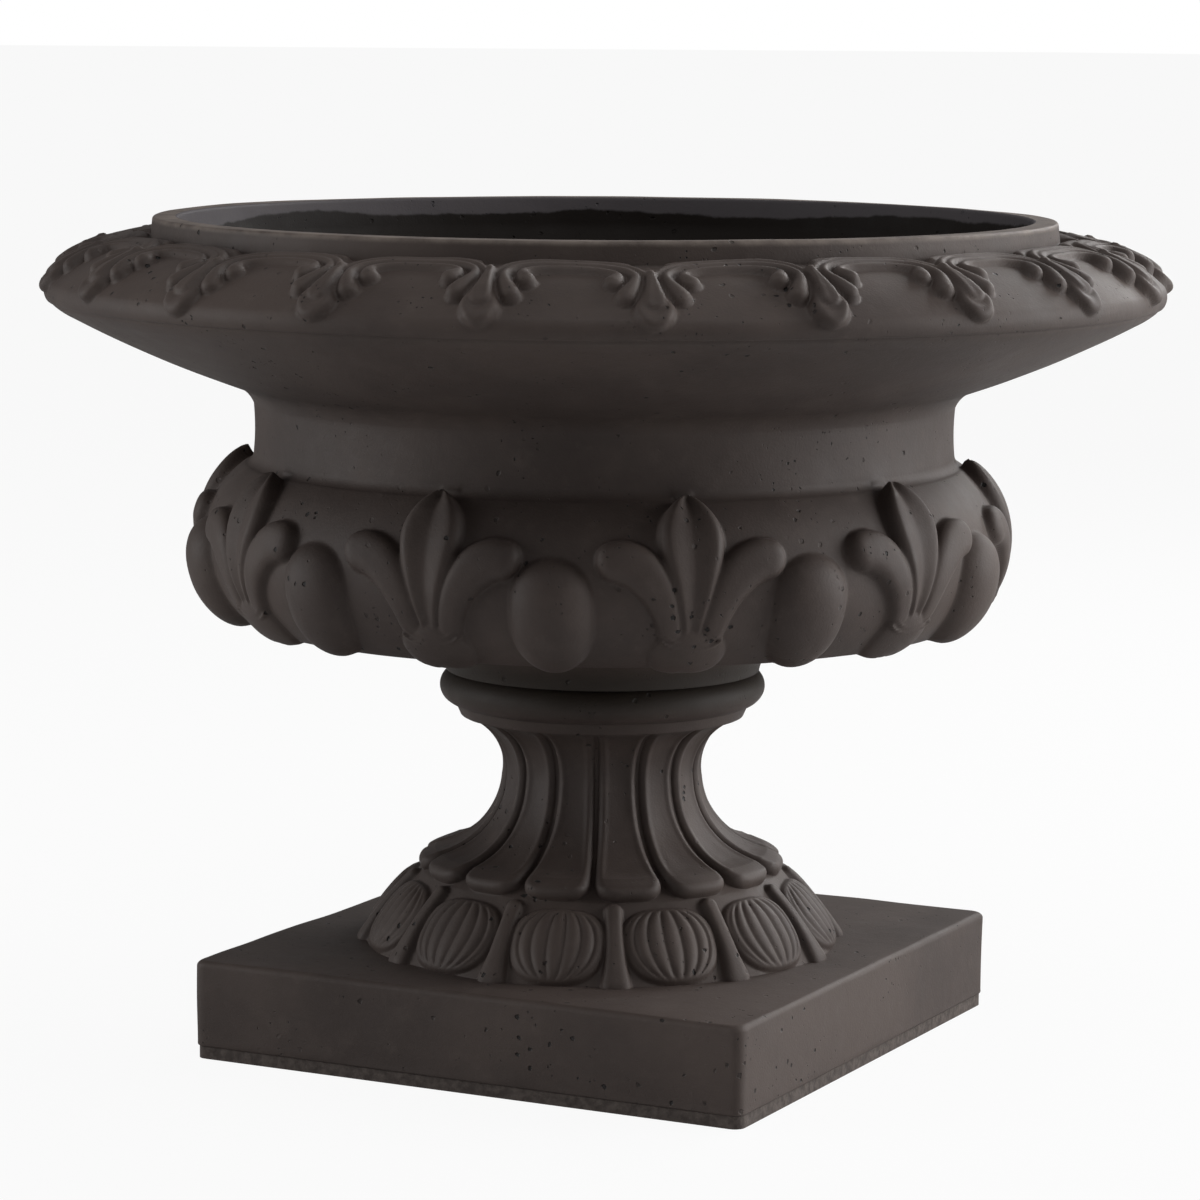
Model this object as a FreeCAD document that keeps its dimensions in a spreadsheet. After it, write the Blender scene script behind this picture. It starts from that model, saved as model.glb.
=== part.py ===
import FreeCAD
import Part
import Sketcher
import math
import os

Vector = FreeCAD.Vector
Rotation = FreeCAD.Rotation
Placement = FreeCAD.Placement

doc = FreeCAD.newDocument("UrnPlanter")

# ---------------------------------------------------------------- driving sizes
# Lengths in millimetres, angles in degrees, counts as whole numbers.
drivingSizes = [
    # plinth and foot
    ("plinthSide", 345),
    ("plinthHeight", 56.5),
    ("plinthCornerRadius", 7),
    ("plinthEdgeRadius", 2.5),
    ("screedHeight", 7),
    ("screedInset", 0.8),
    ("footRadius", 139),
    ("footHeight", 41),
    ("footArcRadius", 300),
    ("footTopRadius", 104.5),
    ("strapTipRadius", 106.5),
    ("strapTipHeight", 5),
    ("strapEndRadius", 97.5),
    ("strapEndHeight", 11.5),
    ("strapTipArcRadius", 9),
    ("frontAngle", -90),
    ("notchTopRadius", 86.5),
    ("notchRise", 14.5),
    ("notchHalfWidth", 9),
    ("notchArcRadius", 300),
    ("notchDepth", 14),
    # shaft
    ("shaftHeight", 91),
    ("waistRadius", 58),
    ("waistRise", 55),
    ("shaftTopRadius", 79),
    ("lowerScotiaRadius", 47),
    ("upperScotiaRadius", 32),
    ("strapCount", 15),
    ("grooveWidth", 4),
    ("grooveDepth", 3),
    # head of the pedestal
    ("stepHeight", 7.5),
    ("stepRadius", 86),
    ("torusRadius", 10),
    ("headRadius", 95.5),
    # bowl, from the seat up
    ("settingGap", 1.4),
    ("seatRadius", 88),
    ("bellyRise", 29),
    ("bellyFootRadius", 204),
    ("bellyArcRadius", 52),
    ("coveRadius", 24),
    ("coveEndRadius", 112),
    ("coveRise", 17.6),
    ("bellyHeight", 90),
    ("neckRadius", 201.5),
    ("neckHeight", 34),
    ("neckArcRadius", 90),
    ("coneStartRadius", 214),
    ("coneStartRise", 11.5),
    ("coneFilletRadius", 20),
    ("coneEndInset", 14),
    ("coneRise", 40),
    ("coneArcRadius", 700),
    ("rimRadius", 320),
    ("rimRise", 14),
    ("rimUnderRadius", 24),
    ("rimArcRadius", 80),
    ("rimHeight", 41.6),
    ("lipRadius", 259),
    ("lipRise", 13.4),
    ("lipWall", 15.5),
    ("neckWall", 16.5),
    ("floorThickness", 34),
    ("floorCornerRadius", 36),
    ("wellTaper", 4),
    # water way and fittings
    ("pipeRadius", 20),
    ("pipeWall", 2.4),
    ("pipeStandsUp", 14),
    ("bushWall", 2.6),
    ("bushClearance", 0.5),
    ("ringInnerRadius", 30),
    ("ringOuterRadius", 82),
    ("grateRadius", 32),
    ("grateThickness", 3),
    ("grateSkirt", 8),
    ("grateClearance", 0.4),
    ("grateSlots", 8),
    ("grateSlotWidth", 3),
    # reinforcement
    ("rodRadius", 4),
    ("rodCircleRadius", 36),
    ("rodCover", 18),
    ("rodCount", 4),
    ("hoopHalfBar", 3),
    ("rimHoopRadius", 284),
    ("bellyHoopRadius", 206),
    ("plinthHoopRadius", 130),
    # relief: how deep the raised shapes root in the stone
    ("reliefRoot", 4),
    # rim: swags hanging between leaf pendants
    ("rimRepeats", 22),
    ("pendantAngle", -1.2),
    ("leafHalfWidth", 10.8),
    ("leafRelief", 5),
    ("swagReach", 7.2),
    ("swagHalfWidth", 3),
    ("swagRelief", 3.6),
    # belly: eggs and fleurs-de-lis in turn
    ("bellyRepeats", 10),
    ("fleurAngle", 2.9),
    ("eggHalfWidth", 24),
    ("eggRelief", 12.6),
    ("petalHalfWidth", 17.5),
    ("petalRelief", 7.2),
    ("sidePetalReach", 13),
    ("sidePetalHalfWidth", 11.4),
    ("baseLobeHalfWidth", 20.5),
    ("baseLobeRelief", 7.6),
    # foot: ribbed shells and darts in turn
    ("footRepeats", 12),
    ("shellAngle", 15),
    ("shellHalfWidth", 25),
    ("shellRelief", 5.6),
    ("shellRibs", 6),
    ("ribDepth", 1.3),
    ("dartHalfWidth", 4.6),
    ("dartRelief", 4.2),
]


class Length:
    """A size that knows both its value and the expression it comes from."""

    def __init__(self, value, text):
        self.value = float(value)
        self.text = text

    def join(self, other, sign, value):
        return Length(value, "(%s %s %s)" % (self.text, sign, other.text))

    def __add__(self, other):
        other = asLength(other)
        return self.join(other, "+", self.value + other.value)

    def __sub__(self, other):
        other = asLength(other)
        return self.join(other, "-", self.value - other.value)

    def __mul__(self, other):
        other = asLength(other)
        return self.join(other, "*", self.value * other.value)

    def __truediv__(self, other):
        other = asLength(other)
        return self.join(other, "/", self.value / other.value)


def asLength(number):
    return number if isinstance(number, Length) else Length(number, repr(number))


sheet = doc.addObject("Spreadsheet::Sheet", "Sizes")
for row, (alias, number) in enumerate(drivingSizes, start=1):
    sheet.set("A%d" % row, alias)
    sheet.set("B%d" % row, str(number))
    sheet.setAlias("B%d" % row, alias)
doc.recompute()


class Sizes:
    """Every driving size by its name."""


size = Sizes()
for alias, number in drivingSizes:
    setattr(size, alias, Length(getattr(sheet, alias), "Sizes." + alias))


# ---------------------------------------------------------------- helpers
def bind(thing, prop, length):
    thing.setExpression(prop, asLength(length).text)


def originPart(body, role):
    return [part for part in body.Origin.OriginFeatures if part.Role == role][0]


def newBody(name):
    return doc.addObject("PartDesign::Body", name)


def newSketch(body, name, role="XZ_Plane"):
    sketch = body.newObject("Sketcher::SketchObject", name)
    sketch.AttachmentSupport = [(originPart(body, role), "")]
    sketch.MapMode = "FlatFace"
    return sketch


def arcThrough(start, end, radius):
    """Arc of a signed radius: positive bulges to the right of the way from start to end."""
    chord = end - start
    half = chord.Length / 2
    reach = math.sqrt(max(radius * radius - half * half, 0))
    side = Vector(-chord.y, chord.x, 0).normalize()
    centre = (start + end) / 2 + side * (reach if radius > 0 else -reach)
    first, last = (start, end) if radius > 0 else (end, start)
    angles = [math.atan2(p.y - centre.y, p.x - centre.x) for p in (first, last)]
    circle = Part.Circle(centre, Vector(0, 0, 1), abs(radius))
    return Part.ArcOfCircle(circle, angles[0], angles[1])


def drawOutline(sketch, corners):
    """Closed outline. A corner is (across, up) or (across, up, radius of the arc that follows)."""
    points = [Vector(c[0].value, c[1].value, 0) for c in corners]
    ends = []
    for i, corner in enumerate(corners):
        start = points[i]
        end = points[(i + 1) % len(points)]
        if len(corner) == 3:
            sketch.addGeometry(arcThrough(start, end, corner[2].value), False)
            ends.append((1, 2) if corner[2].value > 0 else (2, 1))
        else:
            sketch.addGeometry(Part.LineSegment(start, end), False)
            ends.append((1, 2))
    rules = []
    names = []
    for i, corner in enumerate(corners):
        j = (i + 1) % len(corners)
        rules.append(Sketcher.Constraint("Coincident", i, ends[i][1], j, ends[j][0]))
        names.append(None)
        for kind, axis, length in (("DistanceX", -2, corner[0]), ("DistanceY", -1, corner[1])):
            if length.value == 0:
                rules.append(Sketcher.Constraint("PointOnObject", i, ends[i][0], axis))
                names.append(None)
            else:
                rules.append(Sketcher.Constraint(kind, -1, 1, i, ends[i][0], length.value))
                names.append(("%s%d" % (kind, i), length))
        if len(corner) == 3:
            rules.append(Sketcher.Constraint("Radius", i, abs(corner[2].value)))
            names.append(("Radius%d" % i, corner[2] if corner[2].value > 0 else corner[2] * -1))
    sketch.addConstraint(rules)
    for index, named in enumerate(names):
        if named:
            sketch.renameConstraint(index, named[0])
            sketch.setExpression("Constraints." + named[0], named[1].text)


def turn(body, name, corners):
    """Solid turned about the upright axis from a closed outline."""
    sketch = newSketch(body, name + "Outline")
    drawOutline(sketch, corners)
    turned = body.newObject("PartDesign::Revolution", name)
    turned.Profile = sketch
    turned.ReferenceAxis = (sketch, ["V_Axis"])
    turned.Angle = 360
    return turned


def turnCut(body, name, corners):
    """Groove turned about the upright axis, cut out of the body."""
    sketch = newSketch(body, name + "Outline")
    drawOutline(sketch, corners)
    cut = body.newObject("PartDesign::Groove", name)
    cut.Profile = sketch
    cut.ReferenceAxis = (sketch, ["V_Axis"])
    cut.Angle = 360
    return cut


def ringAround(body, name, features, count):
    """Copies of features spread evenly about the upright axis."""
    ring = body.newObject("PartDesign::PolarPattern", name)
    ring.Originals = features
    ring.Axis = (originPart(body, "Z_Axis"), [""])
    ring.Angle = 360
    bind(ring, "Occurrences", count)
    body.Tip = ring
    return ring


def upright(body, kind, name, radius, low, high):
    """Upright cylinder, added to or taken from a body, between two levels."""
    rod = body.newObject(kind, name)
    bind(rod, "Radius", radius)
    bind(rod, "Height", high - low)
    bind(rod, "Placement.Base.z", low)
    return rod


def barRing(radius, level):
    """Outline of a level ring of square bar."""
    half = size.hoopHalfBar
    return [
        (radius - half, level - half),
        (radius + half, level - half),
        (radius + half, level + half),
        (radius - half, level + half),
    ]


def cylinder(name, radius, low, high):
    rod = doc.addObject("Part::Cylinder", name)
    bind(rod, "Radius", radius)
    bind(rod, "Height", high - low)
    bind(rod, "Placement.Base.z", low)
    return rod


def sleeve(name, inner, outer, low, high):
    """Upright tube or washer between two levels."""
    tube = doc.addObject("Part::Cut", name)
    tube.Base = cylinder(name + "Outside", outer, low, high)
    tube.Tool = cylinder(name + "Inside", inner, low - 1, high + 1)
    return tube


def hoop(name, radius, level):
    """Closed steel hoop of square bar, lying level."""
    half = size.hoopHalfBar
    return sleeve(name, radius - half, radius + half, level - half, level + half)


class TurnedArc:
    """One arc of a turned outline, as a place to lay relief on."""

    def __init__(self, start, end, radius):
        first, last = (Vector(p[0].value, 0, p[1].value) for p in (start, end))
        chord = last - first
        across = Vector(-chord.z, 0, chord.x).normalize()
        reach = math.sqrt(radius.value ** 2 - (chord.Length / 2) ** 2)
        self.centre = (first + last) / 2 + across * reach
        self.radius = radius.value
        self.first, self.last = (math.atan2((p - self.centre).z, (p - self.centre).x) for p in (first, last))

    def at(self, share):
        """Point and outward normal at a share of the way from start to end."""
        angle = self.first + (self.last - self.first) * share
        normal = Vector(math.cos(angle), 0, math.sin(angle))
        return self.centre + normal * self.radius, normal


def roundSection(halfWidth, height, facets, root):
    """Half-round section, across and out, with straight roots below the surface."""
    turns = [math.pi * (1 - index / facets) for index in range(facets + 1)]
    points = [(halfWidth * math.cos(turn), height * math.sin(turn)) for turn in turns]
    return points + [(halfWidth, -root), (-halfWidth, -root)]


def ribbedSection(halfWidth, height, ribs, depth, root):
    """Half-round section whose top rises and falls over a number of ribs."""
    points = []
    for index in range(2 * ribs + 1):
        turn = math.pi * (1 - index / (2 * ribs))
        rise = height * math.sin(turn) - (depth if index % 2 == 0 else 0)
        points.append((halfWidth * math.cos(turn), max(rise, 0)))
    return points + [(halfWidth, -root), (-halfWidth, -root)]


def boxSection(halfWidth, height):
    """Square-cut section, across and out, standing on the surface."""
    return [(-halfWidth, height), (halfWidth, height), (halfWidth, 0), (-halfWidth, 0)]


def relief(surface, stations, section):
    """Raised shape along a run of (degrees round, share of the arc, half width, height)."""
    places = []
    for degrees, share, halfWidth, height in stations:
        point, normal = surface.at(share)
        spin = Rotation(Vector(0, 0, 1), degrees)
        places.append((spin.multVec(point), spin.multVec(normal)))
    wires = []
    for index, (degrees, share, halfWidth, height) in enumerate(stations):
        point, normal = places[index]
        before = places[max(index - 1, 0)][0]
        after = places[min(index + 1, len(places) - 1)][0]
        across = (after - before).cross(normal).normalize()
        corners = [point + across * a + normal * b for a, b in section(halfWidth, height)]
        wires.append(Part.makePolygon(corners + corners[:1]))
    return Part.makeLoft(wires, True, True)


def reliefRing(name, shape, count, firstAngle):
    """Copies of one raised shape, spread evenly about the upright axis."""
    copies = []
    for index in range(int(count.value)):
        copy = shape.copy()
        angle = size.frontAngle.value + firstAngle.value + 360 * index / count.value
        copy.rotate(Vector(0, 0, 0), Vector(0, 0, 1), angle)
        copies.append(copy)
    ring = doc.addObject("Part::Feature", name)
    ring.Shape = Part.makeCompound(copies)
    return ring


def mirrored(shape):
    """The same shape on the other side of the plane through the axis."""
    return shape.mirror(Vector(0, 0, 0), Vector(0, 1, 0))


def casting(name, body, rings):
    fused = doc.addObject("Part::MultiFuse", name)
    fused.Shapes = [body] + rings
    fused.Refine = False
    return fused


zero = asLength(0)

# ---------------------------------------------------------------- levels
plinthTop = size.plinthHeight
footTop = plinthTop + size.footHeight
shaftTop = footTop + size.shaftHeight
stepTop = shaftTop + size.stepHeight
headTop = stepTop + size.torusRadius * 2
seat = headTop + size.settingGap
bellyFoot = seat + size.bellyRise
neckFoot = bellyFoot + size.bellyHeight
neckTop = neckFoot + size.neckHeight
coneStart = neckTop + size.coneStartRise
coneEnd = coneStart + size.coneRise
rimLevel = coneEnd + size.rimRise
lipFoot = coneEnd + size.rimHeight
lipTop = lipFoot + size.lipRise
wellFloor = seat + size.floorThickness
waist = footTop + size.waistRise


# ---------------------------------------------------------------- pedestal
pedestal = newBody("pedestal_casting")
plinthSketch = newSketch(pedestal, "PlinthOutline", "XY_Plane")
halfSide = size.plinthSide / 2
back = zero - halfSide
drawOutline(plinthSketch, [(back, back), (halfSide, back), (halfSide, halfSide), (back, halfSide)])
plinth = pedestal.newObject("PartDesign::Pad", "Plinth")
plinth.Profile = plinthSketch
bind(plinthSketch, "AttachmentOffset.Base.z", size.screedHeight)
bind(plinth, "Length", size.plinthHeight - size.screedHeight)
doc.recompute()
uprights = []
for index, edge in enumerate(plinth.Shape.Edges, start=1):
    low, high = edge.Vertexes[0].Point, edge.Vertexes[-1].Point
    if abs(low.z - high.z) > 1:
        uprights.append("Edge%d" % index)
plinthCorners = pedestal.newObject("PartDesign::Fillet", "PlinthCorners")
plinthCorners.Base = (plinth, uprights)
bind(plinthCorners, "Radius", size.plinthCornerRadius)
doc.recompute()
upperEdges = []
for index, edge in enumerate(plinthCorners.Shape.Edges, start=1):
    if min(vertex.Point.z for vertex in edge.Vertexes) > plinthTop.value - 0.01:
        upperEdges.append("Edge%d" % index)
plinthEdges = pedestal.newObject("PartDesign::Fillet", "PlinthEdges")
plinthEdges.Base = (plinthCorners, upperEdges)
bind(plinthEdges, "Radius", size.plinthEdgeRadius)

strapTip = footTop + size.strapTipHeight
strapEnd = footTop + size.strapEndHeight
torusCentre = size.headRadius - size.torusRadius
turn(pedestal, "Shaft", [
    (zero, size.screedHeight),
    (size.footRadius, size.screedHeight),
    (size.footRadius, plinthTop, size.footArcRadius),
    (size.footTopRadius, footTop),
    (size.strapTipRadius, strapTip, size.strapTipArcRadius),
    (size.strapEndRadius, strapEnd, zero - size.lowerScotiaRadius),
    (size.waistRadius, waist, zero - size.upperScotiaRadius),
    (size.shaftTopRadius, shaftTop),
    (size.stepRadius - 3, shaftTop),
    (size.stepRadius, stepTop),
    (torusCentre, stepTop, size.torusRadius),
    (size.headRadius, stepTop + size.torusRadius, size.torusRadius),
    (torusCentre, headTop),
    (zero, headTop),
])
grooveSketch = newSketch(pedestal, "StrapGrooveOutline")
grooveSketch.AttachmentOffset = Placement(Vector(), Rotation(Vector(0, 1, 0), size.frontAngle.value))
inwards = size.grooveDepth
drawOutline(grooveSketch, [
    (size.strapTipRadius + 6, footTop - 2),
    (size.strapTipRadius + 6, strapEnd + 6),
    (size.waistRadius + 20, waist),
    (size.shaftTopRadius, shaftTop - 0.5),
    (size.shaftTopRadius - 3, shaftTop - 0.5, size.upperScotiaRadius + inwards),
    (size.waistRadius - inwards, waist, size.lowerScotiaRadius + inwards),
    (size.strapEndRadius, strapEnd - inwards),
    (size.footTopRadius - 1, footTop - 2),
])
groove = pedestal.newObject("PartDesign::Pocket", "StrapGroove")
groove.Profile = grooveSketch
groove.SideType = "Symmetric"
bind(groove, "Length", size.grooveWidth)
ringAround(pedestal, "StrapGrooves", [groove], size.strapCount)

bore = turnCut(pedestal, "PipeBore", [
    (zero, zero - 1),
    (size.pipeRadius, zero - 1),
    (size.pipeRadius, headTop + 1),
    (zero, headTop + 1),
])
rodTop = headTop - size.rodCover
pedestal.Tip = bore
doc.recompute()
rodHole = upright(pedestal, "PartDesign::SubtractiveCylinder", "RodHole", size.rodRadius, size.screedHeight, rodTop)
bind(rodHole, "Placement.Base.x", size.rodCircleRadius)
ringAround(pedestal, "RodHoles", [rodHole], size.rodCount)
plinthHoopLevel = (plinthTop + size.screedHeight) / 2
pedestal.Tip = turnCut(pedestal, "PlinthHoopBed", barRing(size.plinthHoopRadius, plinthHoopLevel))


# ---------------------------------------------------------------- bowl
bowl = newBody("bowl_casting")
lipInner = size.lipRadius - size.lipWall
neckInner = size.neckRadius - size.neckWall
wellFoot = neckInner - size.wellTaper
bushOuter = size.pipeRadius + size.bushClearance + size.bushWall
turn(bowl, "BowlWall", [
    (bushOuter, seat),
    (size.seatRadius, seat, zero - size.coveRadius),
    (size.coveEndRadius, seat + size.coveRise),
    (size.bellyFootRadius, bellyFoot, size.bellyArcRadius),
    (size.neckRadius, neckFoot, zero - size.neckArcRadius),
    (size.neckRadius, neckTop, zero - size.coneFilletRadius),
    (size.coneStartRadius, coneStart, size.coneArcRadius),
    (size.rimRadius - size.coneEndInset, coneEnd, size.rimUnderRadius),
    (size.rimRadius, rimLevel, size.rimArcRadius),
    (size.lipRadius + 1, lipFoot),
    (size.lipRadius, lipTop - 1.5),
    (size.lipRadius - 1.5, lipTop),
    (lipInner + 1.5, lipTop),
    (lipInner, lipTop - 1.5),
    (lipInner - 2, lipFoot - 10),
    (neckInner, neckTop),
    (neckInner, neckFoot),
    (wellFoot, wellFloor + size.floorCornerRadius, zero - size.floorCornerRadius),
    (wellFoot - size.floorCornerRadius, wellFloor),
    (size.grateRadius + size.grateClearance, wellFloor),
    (size.grateRadius + size.grateClearance, wellFloor - size.grateThickness),
    (bushOuter, wellFloor - size.grateThickness),
])
doc.recompute()
rimHoopLevel = rimLevel
bowl.Tip = turnCut(bowl, "RimHoopBed", barRing(size.rimHoopRadius, rimHoopLevel))
bellyHoopLevel = (bellyFoot + neckFoot) / 2
bowl.Tip = turnCut(bowl, "BellyHoopBed", barRing(size.bellyHoopRadius, bellyHoopLevel))

root = size.reliefRoot.value


def rounded(facets):
    return lambda halfWidth, height: roundSection(halfWidth, height, facets, root)


def raised(surface, halfWidth, height, stations, facets=3):
    """Shape raised along the middle line: (share of the arc, share of half width, share of height)."""
    wide, high = halfWidth.value, height.value
    return relief(surface, [(0, share, wide * w, high * h) for share, w, h in stations], rounded(facets))


# rim: leaf pendants, and a swag from each pendant to the next
rimArc = TurnedArc((size.rimRadius, rimLevel), (size.lipRadius + 1, lipFoot), size.rimArcRadius)
bay = 360 / size.rimRepeats.value
leaf = raised(rimArc, size.leafHalfWidth, size.leafRelief, [
    (0.56, 0.22, 0.5),
    (0.36, 0.55, 0.8),
    (0.20, 0.90, 1.0),
    (0.10, 1.00, 1.0),
    (0.02, 0.80, 0.9),
    (-0.04, 0.35, 0.3),
])
swagWide, swagHigh = size.swagHalfWidth.value, size.swagRelief.value
halfSwag = [(turn * bay / 2, share, swagWide * wide, swagHigh * high) for turn, share, wide, high in (
    (0.31, 0.13, 0.5, 0.4),
    (0.30, 0.19, 1.6, 1.3),
    (0.25, 0.31, 1.3, 1.3),
    (0.20, 0.47, 1.0, 1.1),
    (0.33, 0.66, 1.0, 1.0),
    (0.62, 0.77, 1.3, 1.0),
)]
otherHalf = [(bay - turn, share, wide, high) for turn, share, wide, high in reversed(halfSwag)]
swag = relief(rimArc, halfSwag + [(bay / 2, 0.80, swagWide * 1.5, swagHigh)] + otherHalf, rounded(3))
rimRings = [
    reliefRing("LeafRing", leaf, size.rimRepeats, size.pendantAngle),
    reliefRing("SwagRing", swag, size.rimRepeats, size.pendantAngle),
]

# belly: eggs, and between them fleurs-de-lis of three petals over a round base
bellyArc = TurnedArc((size.bellyFootRadius, bellyFoot), (size.neckRadius, neckFoot), size.bellyArcRadius)
egg = raised(bellyArc, size.eggHalfWidth, size.eggRelief, [
    (0.65, 0.35, 0.25),
    (0.60, 0.74, 0.68),
    (0.50, 0.98, 0.95),
    (0.36, 1.00, 1.00),
    (0.21, 0.90, 0.97),
    (0.085, 0.66, 0.80),
    (0.01, 0.30, 0.35),
], 5)
petal = raised(bellyArc, size.petalHalfWidth, size.petalRelief, [
    (0.975, 0.15, 0.9),
    (0.92, 0.50, 1.0),
    (0.83, 0.84, 1.0),
    (0.715, 1.00, 1.0),
    (0.48, 0.56, 0.8),
    (0.21, 0.25, 0.7),
])
sideWide = size.sidePetalHalfWidth.value
sideReach = size.sidePetalReach.value
petalHigh = size.petalRelief.value
sidePetal = relief(bellyArc, [
    (sideReach * far, share, sideWide * wide, petalHigh * high) for far, share, wide, high in (
        (1.0, 0.62, 0.35, 0.3),
        (0.92, 0.63, 0.80, 0.85),
        (0.76, 0.625, 1.00, 1.00),
        (0.57, 0.595, 1.00, 0.95),
        (0.44, 0.535, 0.87, 0.85),
        (0.35, 0.465, 0.72, 0.80),
        (0.23, 0.31, 0.55, 0.70))
], rounded(3))
baseLobe = raised(bellyArc, size.baseLobeHalfWidth, size.baseLobeRelief, [
    (0.255, 0.85, 0.45),
    (0.20, 1.00, 1.00),
    (0.13, 0.95, 1.00),
    (0.055, 0.66, 0.80),
    (0.01, 0.28, 0.35),
], 4)
eggAngle = size.fleurAngle + asLength(180) / size.bellyRepeats
bellyRings = [
    reliefRing("EggRing", egg, size.bellyRepeats, eggAngle),
    reliefRing("PetalRing", petal, size.bellyRepeats, size.fleurAngle),
    reliefRing("LeftPetalRing", sidePetal, size.bellyRepeats, size.fleurAngle),
    reliefRing("RightPetalRing", mirrored(sidePetal), size.bellyRepeats, size.fleurAngle),
    reliefRing("BaseLobeRing", baseLobe, size.bellyRepeats, size.fleurAngle),
]

# foot: shells, and between them darts
footArc = TurnedArc((size.footRadius, plinthTop), (size.footTopRadius, footTop), size.footArcRadius)
shellWide, shellHigh = size.shellHalfWidth.value, size.shellRelief.value


def ribbed(halfWidth, height):
    depth = size.ribDepth.value * height / shellHigh
    return ribbedSection(halfWidth, height, int(size.shellRibs.value), depth, root)


shell = relief(footArc, [
    (0, share, shellWide * wide, shellHigh * high) for share, wide, high in (
        (0.96, 0.35, 0.35),
        (0.86, 0.72, 0.80),
        (0.68, 0.94, 1.00),
        (0.48, 1.00, 1.00),
        (0.28, 0.94, 1.00),
        (0.12, 0.72, 0.80),
        (0.04, 0.35, 0.35))
], ribbed)
dart = raised(footArc, size.dartHalfWidth, size.dartRelief, [
    (0.92, 0.50, 0.5),
    (0.82, 1.00, 1.0),
    (0.50, 1.05, 1.0),
    (0.05, 1.70, 1.0),
])
dartAngle = size.shellAngle + asLength(180) / size.footRepeats
footRings = [
    reliefRing("ShellRing", shell, size.footRepeats, size.shellAngle),
    reliefRing("DartRing", dart, size.footRepeats, dartAngle),
]
bowlPiece = casting("bowl", bowl, bellyRings + rimRings)

# notches that leave the straps with round tips
notchArc = TurnedArc(
    (size.footTopRadius, footTop), (size.notchTopRadius, footTop + size.notchRise), size.notchArcRadius)
notch = relief(notchArc, [
    (0, share, size.notchHalfWidth.value * wide, size.notchDepth.value) for share, wide in (
        (-0.10, 1.0),
        (0.12, 0.95),
        (0.27, 0.6),
        (0.50, 0.12))
], boxSection)
notched = doc.addObject("Part::Cut", "NotchedPedestal")
notched.Base = pedestal
notched.Tool = reliefRing("NotchRing", notch, size.strapCount, zero)
pedestalPiece = casting("pedestal", notched, footRings)

# ---------------------------------------------------------------- steel cast into the stone
rimHoop = hoop("rim_hoop", size.rimHoopRadius, rimHoopLevel)
bellyHoop = hoop("belly_hoop", size.bellyHoopRadius, bellyHoopLevel)
plinthHoop = hoop("plinth_hoop", size.plinthHoopRadius, plinthHoopLevel)
rods = []
for index in range(int(size.rodCount.value)):
    rod = cylinder("Rod%d" % index, size.rodRadius, size.screedHeight, rodTop)
    angle = asLength(index) * 360 / size.rodCount
    rod.setExpression("Placement.Base.x", "%s * cos(%s * 1 deg)" % (size.rodCircleRadius.text, angle.text))
    rod.setExpression("Placement.Base.y", "%s * sin(%s * 1 deg)" % (size.rodCircleRadius.text, angle.text))
    rods.append(rod)
shaftRods = doc.addObject("Part::Compound", "shaft_rods")
shaftRods.Links = rods

# ---------------------------------------------------------------- bottom layer of the plinth
screed = newBody("plinth_screed")
screedSketch = newSketch(screed, "ScreedOutline", "XY_Plane")
screedHalf = halfSide - size.screedInset
screedBack = zero - screedHalf
drawOutline(screedSketch, [
    (screedBack, screedBack),
    (screedHalf, screedBack),
    (screedHalf, screedHalf),
    (screedBack, screedHalf),
])
screedPad = screed.newObject("PartDesign::Pad", "ScreedPad")
screedPad.Profile = screedSketch
bind(screedPad, "Length", size.screedHeight)
doc.recompute()
screedUprights = []
for index, edge in enumerate(screedPad.Shape.Edges, start=1):
    if abs(edge.Vertexes[0].Point.z - edge.Vertexes[-1].Point.z) > 1:
        screedUprights.append("Edge%d" % index)
screedCorners = screed.newObject("PartDesign::Fillet", "ScreedCorners")
screedCorners.Base = (screedPad, screedUprights)
bind(screedCorners, "Radius", size.plinthCornerRadius - size.screedInset)
turnCut(screed, "ScreedBore", [
    (zero, zero - 1),
    (size.pipeRadius, zero - 1),
    (size.pipeRadius, size.screedHeight + 1),
    (zero, size.screedHeight + 1),
])

# ---------------------------------------------------------------- water way
pipeTop = headTop + size.pipeStandsUp
drainPipe = sleeve("drain_pipe", size.pipeRadius - size.pipeWall, size.pipeRadius, zero, pipeTop)
bushInner = size.pipeRadius + size.bushClearance
grateSeat = wellFloor - size.grateThickness
drainBush = sleeve("drain_bush", bushInner, bushOuter, seat, grateSeat)
settingRing = sleeve("setting_ring", size.ringInnerRadius, size.ringOuterRadius, headTop, seat)

grate = newBody("drain_grate")
skirtOuter = bushInner - size.grateClearance
turn(grate, "GrateDisc", [
    (zero, grateSeat),
    (skirtOuter - size.pipeWall, grateSeat),
    (skirtOuter - size.pipeWall, grateSeat - size.grateSkirt),
    (skirtOuter, grateSeat - size.grateSkirt),
    (skirtOuter, grateSeat),
    (size.grateRadius, grateSeat),
    (size.grateRadius, wellFloor),
    (zero, wellFloor),
])
slotSketch = newSketch(grate, "SlotOutline", "XY_Plane")
slotHalf = size.grateSlotWidth / 2
slotStart = size.grateSlotWidth * 1.5
slotEnd = skirtOuter - size.pipeWall - 1
drawOutline(slotSketch, [
    (slotStart, zero - slotHalf),
    (slotEnd, zero - slotHalf),
    (slotEnd, slotHalf),
    (slotStart, slotHalf),
])
bind(slotSketch, "AttachmentOffset.Base.z", wellFloor + 1)
slot = grate.newObject("PartDesign::Pocket", "Slot")
slot.Profile = slotSketch
bind(slot, "Length", size.grateThickness + 2)
ringAround(grate, "Slots", [slot], size.grateSlots)
doc.recompute()

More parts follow.
